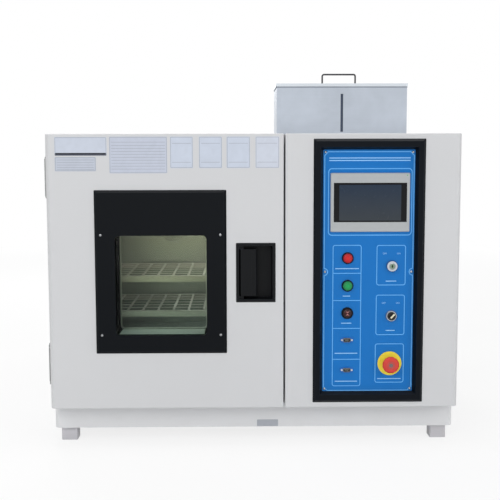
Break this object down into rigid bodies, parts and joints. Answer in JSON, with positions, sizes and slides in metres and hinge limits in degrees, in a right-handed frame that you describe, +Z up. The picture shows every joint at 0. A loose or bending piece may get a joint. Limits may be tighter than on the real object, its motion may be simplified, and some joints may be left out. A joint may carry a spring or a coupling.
{
  "type": "environmental test chamber",
  "caption": "Bench-top temperature and humidity test chamber: insulated door with window and flush handle, sunk control panel, water tank on top, shelves inside",
  "frame": {"origin": "middle of the footprint, on the floor under the feet", "axes": "+X to the right seen from the front, +Y from the door to the rear, +Z up"},
  "size_m": [1.0175, 0.69, 0.9372],
  "materials": {
    "body_paint": "fine satin powder coat, off-white grey",
    "foot_paint": "satin powder coat, pale grey",
    "black_frame": "satin black",
    "black_plastic": "moulded, fine grain",
    "blue_plate": "printed overlay on sheet",
    "screen_grey": "moulded, fine grain",
    "screen_dark": "glossy touch surface",
    "red_lens": "translucent",
    "green_lens": "translucent",
    "dark_red": "dark red sound cap",
    "stop_red": "moulded",
    "stop_yellow": "printed disc",
    "stainless": "brushed",
    "stainless_tank": "brushed, cool",
    "zinc": "zinc plated",
    "bright_ring": "satin chrome",
    "glass": "green-grey tempered",
    "sight": "dark translucent strip",
    "silicone": "matt silicone",
    "foam": "rigid polyurethane foam",
    "copper": "drawn copper",
    "aluminium": "mill finish",
    "black_steel": "gloss black enamel",
    "grey_plastic": "moulded",
    "cream": "black knob with cream pointer",
    "lamp_glass": "frosted",
    "steel": "machined"
  },
  "bodies": {
    "cabinet": {"base_pan": "body_paint", "side_panel_left": "body_paint", "side_panel_right": "body_paint", "top_panel": "body_paint", "rear_panel": "body_paint", "feet": "foot_paint", "chamber_insulation": "foam", "chamber_liner": "stainless", "cable_port_sleeve": "stainless", "strike_plate": "zinc", "hinge_cabinet_leaves": "zinc", "control_cover": "body_paint", "control_bezel": "black_frame", "control_plate": "blue_plate", "panel_screws": "steel", "screen_case": "screen_grey", "screen_glass": "screen_dark", "lamp_bodies": "black_plastic", "lamp_lens_red": "red_lens", "lamp_lens_green": "green_lens", "buzzer_cap": "dark_red", "switch_bodies": "bright_ring", "estop_plate": "stop_yellow", "data_ports": "steel", "water_tank": "stainless_tank", "sight_strip": "sight", "water_pipes": "steel", "shelf_rails": "stainless", "air_baffle": "stainless", "blower_motor": "black_steel", "evaporator": "copper", "heater": "steel", "humidifier_pan": "stainless", "chamber_lamp": "lamp_glass", "sensor_probes": "stainless", "compressor": "black_steel", "condenser": "aluminium", "control_gear": "grey_plastic", "power_inlet": "black_plastic"},
    "door": {"door_shell": "body_paint", "door_inner_panel": "stainless", "door_insulation": "foam", "door_gasket": "silicone", "window_bezel": "black_frame", "bezel_screws": "steel", "window_panes": "glass", "handle_housing": "black_plastic", "hinge_door_leaves": "zinc"},
    "paddle": {"handle_lever": "black_plastic"},
    "bolt": {"latch_bolt": "steel"},
    "lid": {"tank_lid": "stainless_tank"},
    "upper_shelf": {"shelf_upper": "stainless"},
    "lower_shelf": {"shelf_lower": "stainless"},
    "key": {"key_barrel": "steel"},
    "selector": {"selector_knob": "cream"},
    "stop_stem": {"estop_plunger": "stop_red"},
    "stop_head": {"estop_head": "stop_red"},
    "blower": {"blower_wheel": "aluminium"},
    "fan": {"condenser_fan": "black_plastic"},
    "port_plug": {"cable_port_plug": "silicone"}
  },
  "joints": [
    {"name": "door_hinge", "type": "hinge", "parent": "cabinet", "child": "door", "pos_m": [-0.5055, -0.27925, 0.4305], "axis": [0, 0, -1], "range_deg": [0, 115]},
    {"name": "paddle_pull", "type": "hinge", "parent": "door", "child": "paddle", "pos_m": [-0.03, -0.318, 0.4305], "axis": [0, 0, -1], "range_deg": [0, 30], "stiffness_Nm_per_rad": 0.6},
    {"name": "bolt_slide", "type": "slide", "parent": "door", "child": "bolt", "axis": [-1, 0, 0], "range_m": [0, 0.009]},
    {"name": "lid_lift", "type": "slide", "parent": "cabinet", "child": "lid", "axis": [0, 0, 1], "range_m": [0, 0.06]},
    {"name": "upper_shelf_slide", "type": "slide", "parent": "cabinet", "child": "upper_shelf", "axis": [0, -1, 0], "range_m": [0, 0.025]},
    {"name": "lower_shelf_slide", "type": "slide", "parent": "cabinet", "child": "lower_shelf", "axis": [0, -1, 0], "range_m": [0, 0.025]},
    {"name": "key_turn", "type": "hinge", "parent": "cabinet", "child": "key", "pos_m": [0.3351, -0.317, 0.4445], "axis": [0, -1, 0], "range_deg": [0, 90]},
    {"name": "selector_turn", "type": "hinge", "parent": "cabinet", "child": "selector", "pos_m": [0.3351, -0.317, 0.3217], "axis": [0, -1, 0], "range_deg": [0, 90]},
    {"name": "stop_press", "type": "slide", "parent": "cabinet", "child": "stop_stem", "axis": [0, 1, 0], "range_m": [0, 0.0045], "stiffness_N_per_m": 800},
    {"name": "stop_twist", "type": "hinge", "parent": "stop_stem", "child": "stop_head", "pos_m": [0.3323, -0.335, 0.2036], "axis": [0, 1, 0], "range_deg": [0, 30], "stiffness_Nm_per_rad": 0.02},
    {"name": "blower_spin", "type": "hinge", "parent": "cabinet", "child": "blower", "pos_m": [-0.226, 0.155, 0.52], "axis": [0, 1, 0], "continuous": true},
    {"name": "fan_spin", "type": "hinge", "parent": "cabinet", "child": "fan", "pos_m": [0.4085, 0.06, 0.245], "axis": [1, 0, 0], "continuous": true},
    {"name": "port_plug_pull", "type": "slide", "parent": "cabinet", "child": "port_plug", "axis": [-1, 0, 0], "range_m": [0, 0.05]}
  ],
  "couplings": [
    {"joint": "bolt_slide", "follows": "paddle_pull", "m_per_rad": 0.017172}
  ]
}
